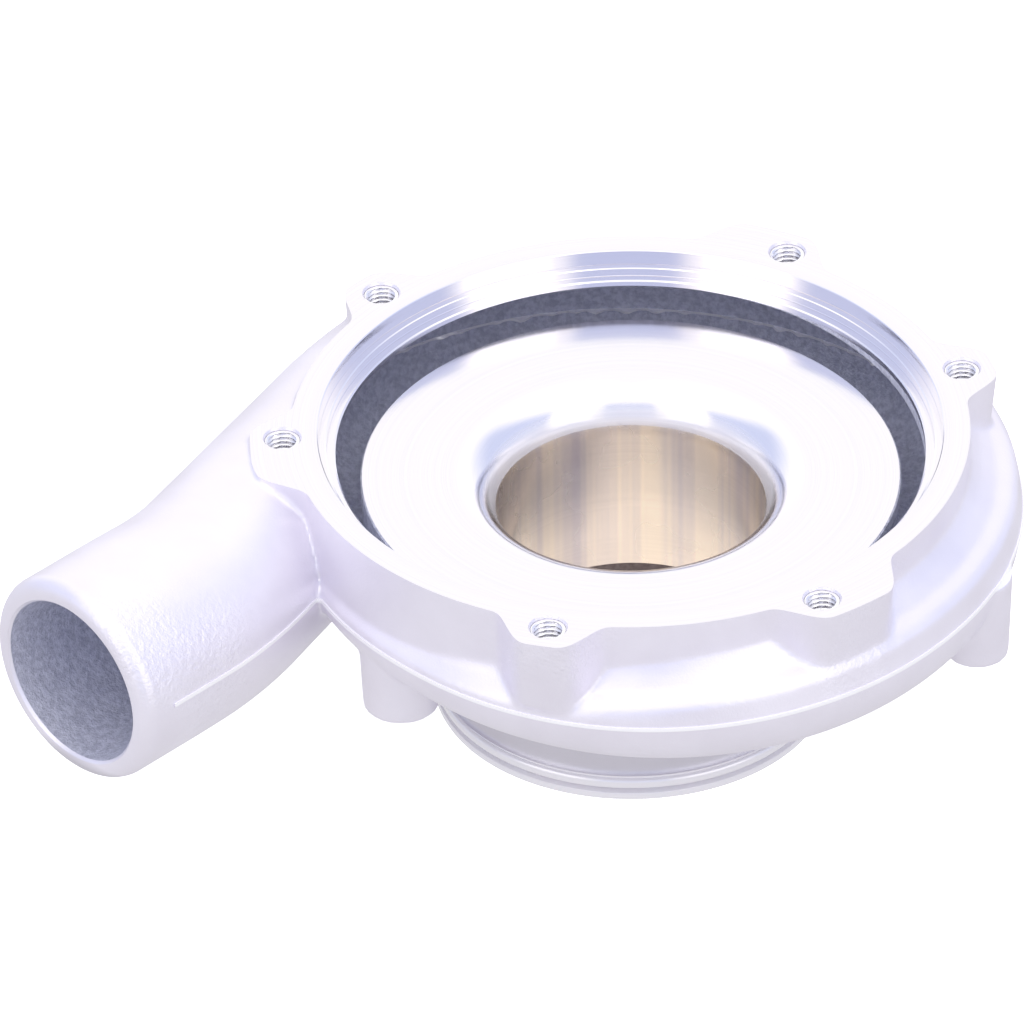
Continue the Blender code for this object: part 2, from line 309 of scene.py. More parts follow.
FEET = ((219.9, 73.1 * MM, 9.2 * MM), (340.6, 87.9 * MM, 7.7 * MM))
FOOT_DEPTH = 47.0 * MM
FOOT_ROOT_DEPTH = 24.0 * MM
FOOT_DRAFT = 1.10


def flange_outline(base, reach, depth):
    points = []
    for i in range(OUTLINE_STEPS):
        angle = 360.0 * i / OUTLINE_STEPS
        lobe = 0.0
        for pair in PAIR_ANGLES:
            for shift, half_top, half_lobe in LOBES:
                off = abs((angle - pair - shift + 180.0) % 360.0 - 180.0)
                lobe = max(lobe, 1.0 - blend(half_top, half_lobe, off))
        points.append(at(angle, base + (reach - base) * lobe, depth))
    return points


def flange():
    return lofted(
        "flange",
        [
            [
                flange_outline(FLANGE_R, LOBE_REACH_AT_FOOT, BOSS_DEPTH),
                flange_outline(FLANGE_R, LOBE_REACH, 0.0),
                flange_outline(FLANGE_R, LOBE_REACH, -STOCK),
            ]
        ],
    )


def growth(angle):
    return ((angle - TONGUE_ANGLE) / (EXIT_ANGLE - TONGUE_ANGLE)) ** GROWTH


def outer_section(angle):
    """(radius, depth) pairs round the outside of the volute at this angle."""
    grown = growth(angle)
    out = between(OUTER_RADII, angle) * MM
    half_width = TONGUE_HALF_WIDTH + (PIPE_R - TONGUE_HALF_WIDTH) * grown
    lower = TONGUE_BELLY + BELLY_GROWTH * grown
    inner = out - 2.0 * half_width
    middle = out - half_width
    section = []
    for i in range(LOWER_POINTS + 1):
        turn = math.pi * i / LOWER_POINTS
        section.append((middle + half_width * math.cos(turn), PARTING_DEPTH + lower * math.sin(turn)))
    crest = between(CREST_DEPTHS, angle) * MM
    crest_in = out - RIM[0][0] * MM
    wall = FLANGE_R - SHOULDER_INSET
    shoulder = between(SHOULDER_DEPTHS, angle) * MM
    for share, under in INNER_SLOPE:
        section.append((inner + share * (wall - inner), shoulder + under * MM))
    for share, fall in OUTER_SLOPE:
        section.append((wall + share * (crest_in - wall), shoulder + fall * (crest - shoulder)))
    for inside, under in RIM:
        section.append((out - inside * MM, crest + under * MM))
    section.append((out - RIM_FOOT_INSET, PARTING_DEPTH - RIM_FOOT))
    rounding = blend(ROUNDING_ANGLE, EXIT_ANGLE, angle)
    upper = len(section) - LOWER_POINTS
    for i, (radius, depth) in enumerate(section):
        if i <= LOWER_POINTS:
            turn = math.pi * i / LOWER_POINTS
        else:
            turn = math.pi * (1.0 + (i - LOWER_POINTS) / upper)
        round_radius = PIPE_OFFSET + PIPE_R * math.cos(turn)
        round_depth = PIPE_DEPTH + PIPE_R * math.sin(turn)
        section[i] = (radius + (round_radius - radius) * rounding, depth + (round_depth - depth) * rounding)
    return section


def pipe_path():
    """(point, heading in degrees) along the pipe's axis, from the volute's exit to the spigot's end."""
    heading = EXIT_ANGLE + 90.0
    point = at(EXIT_ANGLE, PIPE_OFFSET, PIPE_DEPTH)
    path = [(point.copy(), heading)]

    def walk(run, turn=0.0):
        nonlocal heading, point
        heading += 0.5 * turn
        point = point + run * direction(heading)
        heading += 0.5 * turn
        path.append((point.copy(), heading))

    for _ in range(RUN_STEPS):
        walk(FIRST_RUN / RUN_STEPS)
    for _ in range(BEND_STEPS):
        walk(BEND_RUN / BEND_STEPS, -BEND_ANGLE / BEND_STEPS)
    for _ in range(RUN_STEPS):
        walk(LAST_RUN / RUN_STEPS)
    return path


def pipe_ring(point, heading, radius, turns):
    side = direction(heading - 90.0)
    return [point + radius * (math.cos(t) * side - math.sin(t) * Vector((0.0, 0.0, 1.0))) for t in turns]


def volute_angles():
    step = (EXIT_ANGLE - TONGUE_ANGLE) / VOLUTE_STEPS
    return [TONGUE_ANGLE + step * i for i in range(VOLUTE_STEPS + 1)]


def round_the_volute(section_at):
    """Rings of points from the tongue to the exit, from a function that gives the section at an angle."""
    return [[at(angle, radius, depth) for radius, depth in section_at(angle)] for angle in volute_angles()]


def scroll():
    volute = lofted("volute", [round_the_volute(outer_section)])
    fine = full_turn(ROUND)
    path = pipe_path()
    end, heading = path[-1]
    path.append((end + STOCK * direction(heading), heading))
    widening = len(path) - RUN_STEPS
    pipe = []
    for i, (point, way) in enumerate(path):
        radius = PIPE_R + (SPIGOT_R - PIPE_R) * min(1.0, i / widening)
        pipe.append(pipe_ring(point, way, radius, fine))
    return [volute, lofted("pipe", [pipe])]


def snout():
    profile = [
        (0.0, WEB_TOP),
        (WEB_R, WEB_TOP),
        (WEB_R, WEB_DEPTH),
        (SNOUT_R, WEB_DEPTH + WEB_FALL),
        (SNOUT_R, HEIGHT - BEAD_STOCK_TOP),
        (SNOUT_R + BEAD_STOCK, HEIGHT - BEAD_STOCK_TOP + BEAD_STOCK_RISE),
        (SNOUT_R + BEAD_STOCK, HEIGHT + STOCK),
        (0.0, HEIGHT + STOCK),
    ]
    return lofted("snout", [turned(profile)])


def feet():
    bodies = []
    for angle, radius, foot_r in FEET:
        profile = [
            (0.0, FOOT_ROOT_DEPTH),
            (foot_r * FOOT_DRAFT, FOOT_ROOT_DEPTH),
            (foot_r, FOOT_DEPTH),
            (0.0, FOOT_DEPTH),
        ]
        bodies.append(turned(profile, HOLE_ROUND, at(angle, radius, 0.0)))
    return lofted("feet", bodies)


def cast_blank():
    blank = joined("cover", [*scroll(), flange(), snout(), feet()])
    return remeshed(blank, VOXEL, BLANK_PASSES)


FLASH_HEIGHT = 0.35 * MM
FLASH_WIDTH = 0.9 * MM
# X, depth of the parting line's middle and the greatest Y of its sheet, in millimetres: a little deeper on the
# pipe, whose far side was ground flush.
FLASH_LINE = (
    (-127.0, 24.85, -88.0),
    (-66.0, 24.85, -27.0),
    (-46.0, 23.5, 94.6),
    (127.0, 23.5, 94.6),
)


def parting_sheet():
    """A thin sheet through the parting line."""
    reach = 0.5 * (CAD_BOX[1].y - CAD_BOX[0].y) + STOCK
    rings = []
    for x, depth, far in FLASH_LINE:
        low = HEIGHT - depth * MM - 0.5 * FLASH_WIDTH
        high = low + FLASH_WIDTH
        corners = ((-reach, low), (far * MM, low), (far * MM, high), (-reach, high))
        rings.append([Vector((x * MM, y, z)) for y, z in corners])
    return lofted("parting_sheet", [rings])


def swollen(obj, name, amount):
    """A copy of obj, its skin moved outwards by amount: one number, or one for each coordinate."""
    copy = bpy.data.objects.new(name, obj.data.copy())
    bpy.context.scene.collection.objects.link(copy)
    points = np.empty(len(copy.data.vertices) * 3, np.float32)
    normals = np.empty(len(copy.data.vertices) * 3, np.float32)
    copy.data.vertices.foreach_get("co", points)
    copy.data.vertices.foreach_get("normal", normals)
    copy.data.vertices.foreach_set("co", points + amount * normals)
    copy.data.update()
    return copy


def with_flash(blank, skins):
    """Leaves a thin raised line where the mould's halves met."""
    line = boolean(swollen(blank, "flash", FLASH_HEIGHT), parting_sheet(), "INTERSECT")
    # The raised line gets a brighter skin: painted highlight.
    give_skin(line, skins[LINE_HIGHLIGHT])
    give_skin(blank, skins[CAST])
    return boolean(blank, line, "UNION")


# ---------------------------------------------------------------- what is cut from it

REGISTER = (
    (75.7, 0.0), (75.5, 0.2), (75.4, 3.7), (75.55, 3.8), (75.4, 3.9), (73.8, 3.9), (73.5, 4.1), (73.5, 5.9),
    (73.6, 6.0), (73.5, 6.1), (71.7, 6.1), (71.3, 6.4),
)
LIP_R = 71.3 * MM
LIP_DEPTH = 7.8 * MM
DISC_R = 65.4 * MM
DISC_DEPTH = 13.5 * MM
DISC_EDGE = 0.35 * MM
SLOT_DEPTH = 26.0 * MM
THROAT_R = 32.5 * MM
FLARE_R = 11.8 * MM
FLARE_STEPS = 20
MOUTH_R = 41.5 * MM
MOUTH_CONE = 5.0 * MM
MOUTH_DEPTH = 63.8 * MM
# How much wider than the throat the flare's foot still counts as bored.
BORE_MARGIN = 0.3 * MM
OVERRUN = 5.0 * MM

WALL = 4.2 * MM
CHANNEL_TONGUE_HALF = 2.6 * MM
CHANNEL_MIDDLE = 28.2 * MM
CHANNEL_LEAST_HEIGHT = 5.0 * MM
CHANNEL_RISE = 1.15
CHANNEL_ROOF = 8.0 * MM
CHANNEL_ROUND = 64
DISC_NOSE = 3.8 * MM
ROOF = ((71.8, 7.6), (74.5, 9.2), (77.5, 12.4), (86.0, 16.0), (94.0, 20.5), (101.0, 24.0))
CLEAR = 0.4 * MM

HOLE_R = 4.3 * MM
COUNTERSINK_R = 4.7 * MM
COUNTERSINK_DEPTH = 0.6 * MM
HOLE_DEPTH = 14.0 * MM
DRILL_POINT = 0.4

# Round the snout's end: radius and height above the end, from the top down.
BEAD = (
    (49.8, 7.1), (47.7, 7.1), (47.7, 6.0), (48.1, 5.85), (48.4, 5.55), (48.55, 5.2), (48.6, 4.8), (48.6, 3.9),
    (48.5, 3.6), (48.2, 3.4), (46.9, 3.2), (46.6, 3.0), (46.6, 2.7), (46.9, 2.4), (48.1, 2.2), (48.45, 2.0),
    (48.6, 1.6), (48.6, 0.6), (48.4, 0.2), (48.0, 0.0), (48.0, -4.0),
)
SPIGOT_ROUND = 4.0 * MM
SPIGOT_ROUND_STEPS = 12
# How far behind the end face, and how much wider than the bore, in millimetres.
SPIGOT_BREAK = ((1.4, -0.6), (0.5, 0.1), (-4.0, 4.6))
# How far back from the end the flash is trimmed off.
SPIGOT_CLEAN = 9.0 * MM


def channel_section(angle):
    grown = growth(angle)
    out = between(OUTER_RADII, angle) * MM - WALL
    half_width = CHANNEL_TONGUE_HALF + (SPIGOT_BORE_R - CHANNEL_TONGUE_HALF) * grown
    bottom = PARTING_DEPTH + TONGUE_BELLY + BELLY_GROWTH * grown - WALL
    top = max(CHANNEL_ROOF, CHANNEL_MIDDLE - CHANNEL_RISE * half_width)
    top = min(top, bottom - CHANNEL_LEAST_HEIGHT)
    rounding = blend(ROUNDING_ANGLE, EXIT_ANGLE, angle)
    top += (PIPE_DEPTH - SPIGOT_BORE_R - top) * rounding
    bottom += (PIPE_DEPTH + SPIGOT_BORE_R - bottom) * rounding
    middle = out - half_width
    middle += (PIPE_OFFSET - middle) * rounding
    section = []
    for i in range(CHANNEL_ROUND):
        turn = math.tau * i / CHANNEL_ROUND
        radius = middle + half_width * math.cos(turn)
        depth = 0.5 * (top + bottom) + 0.5 * (bottom - top) * math.sin(turn)
        section.append((radius, depth))
    return section


CORE_LINE_DEPTH = 29.2 * MM
CORE_LINE_WIDTH = 0.6 * MM
CORE_LINE_HEIGHT = 1.1 * MM
CORE_LINE_LEAST = 0.05 * MM
CORE_LINE_REACH = 100.0 * MM
# How tightly its height wavers, and between what shares of the full height.
CORE_LINE_BREAKS = 260.0
CORE_LINE_MIDDLE = 0.2
CORE_LINE_SWING = 2.2


def inner_flash(tube, skins):
    """A thin ragged line where the core's halves met, left standing in the channel's wall and brightened with
    painted highlight.
    """
    low = HEIGHT - CORE_LINE_DEPTH - 0.5 * CORE_LINE_WIDTH
    rings = []
    for z in (low, low + CORE_LINE_WIDTH):
        middle = Vector((AXIS.x, AXIS.y, z))
        rings.append([middle + CORE_LINE_REACH * Vector((a, b, 0.0)) for a, b in SQUARE])
    ragged = [noise.noise(CORE_LINE_BREAKS * v.co) for v in tube.data.vertices]
    heights = [CORE_LINE_HEIGHT * (CORE_LINE_MIDDLE + CORE_LINE_SWING * value) for value in ragged]
    shrink = -np.repeat(np.maximum(heights, CORE_LINE_LEAST), 3).astype(np.float32)
    core = swollen(tube, "core", shrink)
    give_skin(core, skins[LINE_HIGHLIGHT])
    give_skin(tube, skins[CORE])
    line = lofted("core_line", [rings])
    give_skin(line, skins[LINE_HIGHLIGHT])
    return boolean(tube, boolean(line, core, "DIFFERENCE"), "DIFFERENCE")


def channel(skins):
    """The rough flow channel, clear of the diffuser wall."""
    tube = round_the_volute(channel_section)
    turns = full_turn(CHANNEL_ROUND)
    path = pipe_path()
    end, heading = path[-1]
    path.append((end + OVERRUN * direction(heading), heading))
    pipe = [pipe_ring(point, way, SPIGOT_BORE_R, turns) for point, way in path]
    both = joined("channel", [lofted("tube", [tube]), lofted("pipe_bore", [pipe])])
    remeshed(both, CHANNEL_VOXEL, CHANNEL_PASSES)
    both = inner_flash(both, skins)
    wall = DISC_R + CLEAR
    nose = DISC_DEPTH + DISC_NOSE
    guard = [(0.0, nose), (wall, nose), (wall, ROOF[0][1] * MM)]
    guard += [(radius * MM, depth * MM) for radius, depth in ROOF]
    guard += [(ROOF[-1][0] * MM, -OVERRUN), (0.0, -OVERRUN)]
    tool = lofted("guard", [turned(guard)])
    give_skin(tool, skins[CORE])
    return boolean(both, tool, "DIFFERENCE")


def register_and_bore(skins):
    profile = [(0.0, -OVERRUN), (REGISTER[0][0] * MM, -OVERRUN)]
    profile += [(radius * MM, depth * MM) for radius, depth in REGISTER]
    profile += [(LIP_R, LIP_DEPTH), (LIP_R, SLOT_DEPTH), (DISC_R, SLOT_DEPTH)]
    profile += [(DISC_R, DISC_DEPTH + DISC_EDGE), (DISC_R - DISC_EDGE, DISC_DEPTH)]
    flare_centre = THROAT_R + FLARE_R
    for i in range(FLARE_STEPS + 1):
        turn = 0.5 * math.pi * i / FLARE_STEPS
        radius = flare_centre - FLARE_R * math.sin(turn)
        profile.append((radius, DISC_DEPTH + FLARE_R * (1.0 - math.cos(turn))))
    profile += [
        (THROAT_R, MOUTH_DEPTH),
        (MOUTH_R, MOUTH_DEPTH + MOUTH_CONE),
        (MOUTH_R, HEIGHT + OVERRUN),
        (0.0, HEIGHT + OVERRUN),
    ]
    tool = lofted("register_and_bore", [turned(profile)])
    skin_by_depth(tool, skins)
    return tool


def plane_cut(name, point, outward):
    """A block whose near face is the plane through point."""
    way = Vector(outward).normalized()
    across = way.orthogonal().normalized()
    other = way.cross(across)
    rings = []
    for depth in (0.0, BLOCK):
        base = Vector(point) + depth * way
        rings.append([base + BLOCK * (a * across + b * other) for a, b in SQUARE])
    return lofted(name, [rings])


def bead_cut():
    """What is turned off outside the snout's end."""
    outer = WEB_R
    profile = [(radius * MM, HEIGHT - above * MM) for radius, above in BEAD]
    profile += [(outer, HEIGHT - BEAD[-1][1] * MM), (outer, HEIGHT - BEAD[0][1] * MM)]
    return lofted("bead_cut", [turned(profile)], closed_round=True)


def spigot_cut():
    """What is taken off outside the spigot's end to round it."""
    end, heading = pipe_path()[-1]
    turns = full_turn(ROUND)
    inner = SPIGOT_R - SPIGOT_ROUND
    outline = [(-OVERRUN, inner)]
    for i in range(SPIGOT_ROUND_STEPS + 1):
        turn = 0.5 * math.pi * i / SPIGOT_ROUND_STEPS
        outline.append((SPIGOT_ROUND * (1.0 - math.cos(turn)), inner + SPIGOT_ROUND * math.sin(turn)))
    outline += [(SPIGOT_CLEAN, SPIGOT_R), (SPIGOT_CLEAN, 2.0 * SPIGOT_R), (-OVERRUN, 2.0 * SPIGOT_R)]
    rings = [pipe_ring(end - back * direction(heading), heading, radius, turns) for back, radius in outline]
    return lofted("spigot_cut", [rings], closed_round=True)


def spigot_mouth_cut():
    """The break on the spigot bore's edge."""
    end, heading = pipe_path()[-1]
    turns = full_turn(ROUND)
    rings = []
    for back, wider in SPIGOT_BREAK:
        point = end - back * MM * direction(heading)
        rings.append(pipe_ring(point, heading, SPIGOT_BORE_R + wider * MM, turns))
    return lofted("spigot_mouth", [rings])


def bolt_holes():
    profile = [
        (0.0, -OVERRUN),
        (COUNTERSINK_R, -OVERRUN),
        (COUNTERSINK_R, 0.0),
        (HOLE_R, COUNTERSINK_DEPTH),
        (HOLE_R, HOLE_DEPTH),
        (0.0, HOLE_DEPTH + DRILL_POINT * HOLE_R),
    ]
    return lofted("bolt_holes", [turned(profile, HOLE_ROUND, place) for place in HOLE_PLACES])


CAST, FACE, BORE, CORE, SHADED_MOUTH, LINE_HIGHLIGHT = range(6)


def skin_by_depth(tool, skins):
    """The register, diffuser wall and flare are turned, the throat under them is bored, and the mouth and the
    slot's walls are left rough. The mouth's skin is dark with painted shade."""
    for skin in skins:
        tool.data.materials.append(skin)
    for polygon in tool.data.polygons:
        centre = polygon.center
        radius = math.hypot(centre.x - AXIS.x, centre.y - AXIS.y)
        depth = HEIGHT - centre.z
        if radius > DISC_R - DISC_EDGE:
            rough = depth > LIP_DEPTH
            polygon.material_index = CORE if rough else FACE
        elif radius < THROAT_R + BORE_MARGIN and depth < MOUTH_DEPTH:
            polygon.material_index = BORE
        elif depth > MOUTH_DEPTH:
            # Painted shade: the mouth gets the dark skin.
            polygon.material_index = SHADED_MOUTH
        else:
            polygon.material_index = FACE


def machined(blank, skins):
    """Cuts the blank, and each cut leaves its tool's skin."""
    end, heading = pipe_path()[-1]
    for tool, skin in (
        (channel(skins), None),
        (plane_cut("face_cut", (AXIS.x, AXIS.y, HEIGHT), (0, 0, 1)), FACE),
        (plane_cut("rest_cut", (AXIS.x, AXIS.y, 0.0), (0, 0, -1)), FACE),
        (plane_cut("spigot_face", end, direction(heading)), CAST),
        (register_and_bore(skins), None),
        (bead_cut(), FACE),
        (spigot_cut(), CAST),
        (spigot_mouth_cut(), CAST),
        (bolt_holes(), CAST),
    ):
        if skin is not None:
            give_skin(tool, skins[skin])
        boolean(blank, tool, "DIFFERENCE")
    return blank


# ---------------------------------------------------------------- thread inserts

INSERT_OUTER_R = 4.2 * MM
THREAD_CREST_R = 3.4 * MM
THREAD_ROOT_R = 4.02 * MM
THREAD_PITCH = 1.25 * MM
INSERT_TOP = 0.7 * MM
INSERT_DEPTH = 12.0 * MM
INSERT_ROUND = 48
THREAD_STEPS = 12


def thread_radius(depth, turn):
    """The thread's inner radius: narrow crests, V flanks, and one turn more for each pitch."""
    phase = (depth / THREAD_PITCH - turn) % 1.0
    height = min(1.0, max(0.0, 1.25 - 2.5 * abs(phase - 0.5)))
    return THREAD_ROOT_R + (THREAD_CREST_R - THREAD_ROOT_R) * height


def thread_insert(number, place):
    """A coiled wire insert, as one threaded sleeve."""
    turns = full_turn(INSERT_ROUND)
    rings = [level_ring(place, INSERT_OUTER_R, depth, turns) for depth in (INSERT_DEPTH, INSERT_TOP)]
    steps = round((INSERT_DEPTH - INSERT_TOP) / THREAD_PITCH * THREAD_STEPS)
    for k in range(steps + 1):
        depth = INSERT_TOP + (INSERT_DEPTH - INSERT_TOP) * k / steps
        ring = []
        for way in turns:
            radius = thread_radius(depth, way / math.tau)
            ring += level_ring(place, radius, depth, [way])
        rings.append(ring)
    return lofted(f"wire_insert_{number}", [rings], closed_round=True)


# ---------------------------------------------------------------- materials


class Shader:
    """A node tree built up from short calls."""

    def __init__(self, name, colour, metallic, roughness):
        self.material = bpy.data.materials.new(name)
        self.material.use_nodes = True
        self.tree = self.material.node_tree
        self.surface = self.tree.nodes["Principled BSDF"]
        self.surface.inputs["Base Color"].default_value = (*colour, 1.0)
        self.surface.inputs["Metallic"].default_value = metallic
        self.surface.inputs["Roughness"].default_value = roughness
        self.place = self.add("ShaderNodeTexCoord").outputs["Object"]

    def add(self, kind, **settings):
        node = self.tree.nodes.new(kind)
        for key, value in settings.items():
            setattr(node, key, value)
        return node

    def put(self, socket, value):
        if isinstance(value, bpy.types.NodeSocket):
            self.tree.links.new(value, socket)
        else:
            socket.default_value = value

    def math(self, operation, *values):
        node = self.add("ShaderNodeMath", operation=operation)
        for socket, value in zip(node.inputs, values):
            self.put(socket, value)
        return node.outputs[0]

    def vector(self, operation, *values):
        node = self.add("ShaderNodeVectorMath", operation=operation)
        sockets = [node.inputs[0], node.inputs["Scale"]] if operation == "SCALE" else node.inputs
        for socket, value in zip(sockets, values):
            self.put(socket, value)
        return node.outputs[1] if operation in ("LENGTH", "DOT_PRODUCT") else node.outputs[0]

    def parts(self, vector):
        """The three numbers of a vector."""
        node = self.add("ShaderNodeSeparateXYZ")
        self.put(node.inputs[0], vector)
        return node.outputs

    def noise(self, vector, scale, detail=2.0, roughness=0.5):
        node = self.add("ShaderNodeTexNoise")
        self.put(node.inputs["Vector"], vector)
        node.inputs["Scale"].default_value = scale
        node.inputs["Detail"].default_value = detail
        node.inputs["Roughness"].default_value = roughness
        return node.outputs["Fac"]

    def spread(self, value, low, high, to_low, to_high):
        node = self.add("ShaderNodeMapRange")
        for socket, number in zip(node.inputs, (value, low, high, to_low, to_high)):
            self.put(socket, number)
        return node.outputs[0]

    def mix_colours(self, factor, first, second):
        node = self.add("ShaderNodeMix", data_type="RGBA")
        self.put(node.inputs[0], factor)
        for socket, colour in ((node.inputs[6], first), (node.inputs[7], second)):
            self.put(socket, colour if isinstance(colour, bpy.types.NodeSocket) else (*colour, 1.0))
        return node.outputs[2]

    def bump(self, height, distance, strength=1.0, normal=None):
        node = self.add("ShaderNodeBump")
        self.put(node.inputs["Height"], height)
        node.inputs["Distance"].default_value = distance
        node.inputs["Strength"].default_value = strength
        if normal is not None:
            self.put(node.inputs["Normal"], normal)
        return node.outputs["Normal"]

    def colour(self, socket):
        self.put(self.surface.inputs["Base Color"], socket)

    def roughness(self, socket):
        self.put(self.surface.inputs["Roughness"], socket)

    def normal(self, socket):
        self.put(self.surface.inputs["Normal"], socket)


# The snout's colour is darkened by painted shade up to this height, over a soft edge.
SNOUT_SHADE_TOP = 29.0 * MM
SNOUT_SHADE_EDGE = 3.0 * MM
SNOUT_SHADE_TONE = 0.74


def cast_skin():
    """Shot-blasted cast alloy: fine grain, with coarser patches where the sand bit."""
    s = Shader("cast_skin", (0.88, 0.85, 0.95), 0.6, 0.45)
    grain = s.noise(s.place, 1500.0, 3.0, 0.6)
    blotch = s.noise(s.place, 45.0, 3.0, 0.55)
    patches = s.spread(s.noise(s.place, 22.0, 2.0), 0.55, 0.66, 0.0, 1.0)
    pits = s.noise(s.place, 620.0, 2.0, 0.7)
    tone = s.mix_colours(s.spread(blotch, 0.3, 0.7, 0.0, 1.0), (0.81, 0.78, 0.865), (0.865, 0.84, 0.92))
    height = s.parts(s.place)[2]
    # Painted shade: the cast colour is darkened on the snout, low down by the floor.
    snout_shade = s.spread(height, SNOUT_SHADE_TOP - SNOUT_SHADE_EDGE, SNOUT_SHADE_TOP, SNOUT_SHADE_TONE, 1.0)
    s.colour(s.vector("SCALE", tone, snout_shade))
    s.roughness(s.spread(blotch, 0.3, 0.7, 0.36, 0.5))
    fine = s.bump(grain, 0.06 * MM)
    s.normal(s.bump(s.math("MULTIPLY", pits, patches), 0.4 * MM, 1.0, fine))
    return s.material


def core_skin(name, dark, light):
    """Rough inner walls: sandy and sparkling."""
    s = Shader(name, light, 0.35, 0.42)
    grain = s.noise(s.place, 1500.0, 3.0, 0.7)
    lumps = s.noise(s.place, 620.0, 3.0, 0.65)
    s.colour(s.mix_colours(s.spread(lumps, 0.38, 0.62, 0.0, 1.0), dark, light))
    s.roughness(s.spread(grain, 0.3, 0.7, 0.3, 0.55))
    fine = s.bump(grain, 0.18 * MM)
    s.normal(s.bump(lumps, 0.3 * MM, 1.0, fine))
    return s.material


def line_highlight_skin():
    """The raised flash and core lines: brighter than the cast skin round them, a painted highlight along each
    line.
    """
    s = Shader("flash_painted_highlight", (0.97, 0.96, 0.99), 0.4, 0.4)
    scratches = s.noise(s.place, 500.0, 3.0, 0.6)
    s.roughness(s.spread(scratches, 0.3, 0.7, 0.3, 0.5))
    s.normal(s.bump(scratches, 0.03 * MM))
    return s.material


# Painted reflection: how finely the colour bands vary round the axis.
REFLECTION_STREAKS = 4.0
# The flare's foot is duller than the faces above it: over these depths its metal goes from bright to matt.
FLARE_BRIGHT_DEPTH = 16.8 * MM
FLARE_DULL_DEPTH = 19.2 * MM
FLARE_METAL = 0.3


def turned_metal(name, colour, reflection_streak_colour, roughness, anisotropy, groove, groove_depth, foot_metal):
    """A lathe's work: grooves round the compressor axis, with the shine drawn out across them, and painted
    reflection:
    a second colour banding across the grooves. foot_metal is the metallic value from the flare's foot down."""
    s = Shader(name, colour, 1.0, roughness)
    s.surface.inputs["Anisotropic"].default_value = anisotropy
    s.surface.inputs["Anisotropic Rotation"].default_value = 0.25
    from_axis = s.vector("SUBTRACT", s.place, tuple(AXIS))
    flat = s.vector("MULTIPLY", from_axis, (1.0, 1.0, 0.0))
    s.put(s.surface.inputs["Tangent"], s.vector("CROSS_PRODUCT", flat, (0.0, 0.0, 1.0)))
    radius = s.vector("LENGTH", flat)
    height = s.parts(from_axis)[2]
    face = HEIGHT - AXIS.z
    metal = s.spread(height, face - FLARE_DULL_DEPTH, face - FLARE_BRIGHT_DEPTH, foot_metal, 1.0)
    s.put(s.surface.inputs["Metallic"], metal)
    across = s.add("ShaderNodeCombineXYZ")
    s.put(across.inputs[0], radius)
    s.put(across.inputs[1], height)
    lines = s.noise(across.outputs[0], 1.0 / groove, 2.0, 0.6)
    cloud = s.noise(s.place, 60.0, 2.0)
    s.roughness(s.spread(cloud, 0.3, 0.7, 0.85 * roughness, 1.15 * roughness))
    # Painted reflection: colour bands round the axis, for the surroundings drawn out in the shine.
    reflection_streaks = s.noise(s.vector("NORMALIZE", flat), REFLECTION_STREAKS, 3.0, 0.6)
    tone = s.mix_colours(s.spread(reflection_streaks, 0.42, 0.68, 0.0, 1.0), colour, reflection_streak_colour)
    s.colour(s.vector("SCALE", tone, s.spread(lines, 0.3, 0.7, 0.95, 1.0)))
    s.normal(s.bump(lines, groove_depth))
    return s.material


def wire_steel():
    s = Shader("wire_steel", (0.66, 0.65, 0.70), 1.0, 0.28)
    scuff = s.noise(s.place, 700.0, 3.0, 0.6)
    s.roughness(s.spread(scuff, 0.3, 0.7, 0.2, 0.4))
    s.colour(s.mix_colours(scuff, (0.84, 0.83, 0.88), (0.96, 0.95, 0.98)))
    s.normal(s.bump(scuff, 0.02 * MM))
    return s.material


def studio_floor():
    """White paper, with a little light of its own so that shadows on it stay faint."""
    s = Shader("studio_floor", (0.95, 0.95, 0.955), 0.0, 0.7)
    s.surface.inputs["Emission Color"].default_value = (1.0, 1.0, 1.0, 1.0)
    s.surface.inputs["Emission Strength"].default_value = FLOOR_GLOW
    speck = s.noise(s.place, 3.0, 2.0)
    s.colour(s.mix_colours(speck, (0.94, 0.94, 0.95), (0.96, 0.96, 0.965)))
    return s.material


def glowing_reflection_card():
    """Warm card that glows in its own colours, with a light grey margin on the left and a dark one on the right:
    painted reflection, with painted shade on the right.
    """
    s = Shader("glowing_reflection_card", (0.68, 0.65, 0.60), 0.0, 0.8)
    aside = s.math("SUBTRACT", s.parts(s.place)[0], AXIS.x)
    left_edge = s.spread(aside, -CARD_MARGIN, -CARD_MIDDLE, 0.0, 1.0)
    right_edge = s.spread(aside, CARD_MIDDLE, CARD_MARGIN, 0.0, 1.0)
    warm = s.mix_colours(left_edge, (0.44, 0.42, 0.45), (0.70, 0.63, 0.56))
    tone = s.mix_colours(right_edge, warm, (0.19, 0.19, 0.24))
    fibre = s.spread(s.noise(s.place, 400.0, 3.0, 0.6), 0.3, 0.7, 0.92, 1.0)
    s.colour(s.vector("SCALE", tone, fibre))
    # Painted reflection: the card glows with its own colours, so that the bore shows them warm in the middle and
    # dark on the right.
    s.put(s.surface.inputs["Emission Color"], tone)
    s.surface.inputs["Emission Strength"].default_value = CARD_REFLECTION_GLOW
    return s.material


# ---------------------------------------------------------------- camera, light and floor

FLOOR_HALF = 8.0
FLOOR_GLOW = 0.7
CARD_REFLECTION_GLOW = 1.1
CARD_MIDDLE = 11.0 * MM
CARD_MARGIN = 27.0 * MM
CARD_R = 39.0 * MM
CARD_HEIGHT = 0.5 * MM

VIEW_ELEVATION = 35.55
VIEW_ROLL = -0.83
VIEW_DISTANCE = 2894.9 * MM
FACE_RIGHT = 28.56 * MM
FACE_UP = 20.50 * MM
LENS = 421.875
SENSOR = 36.0


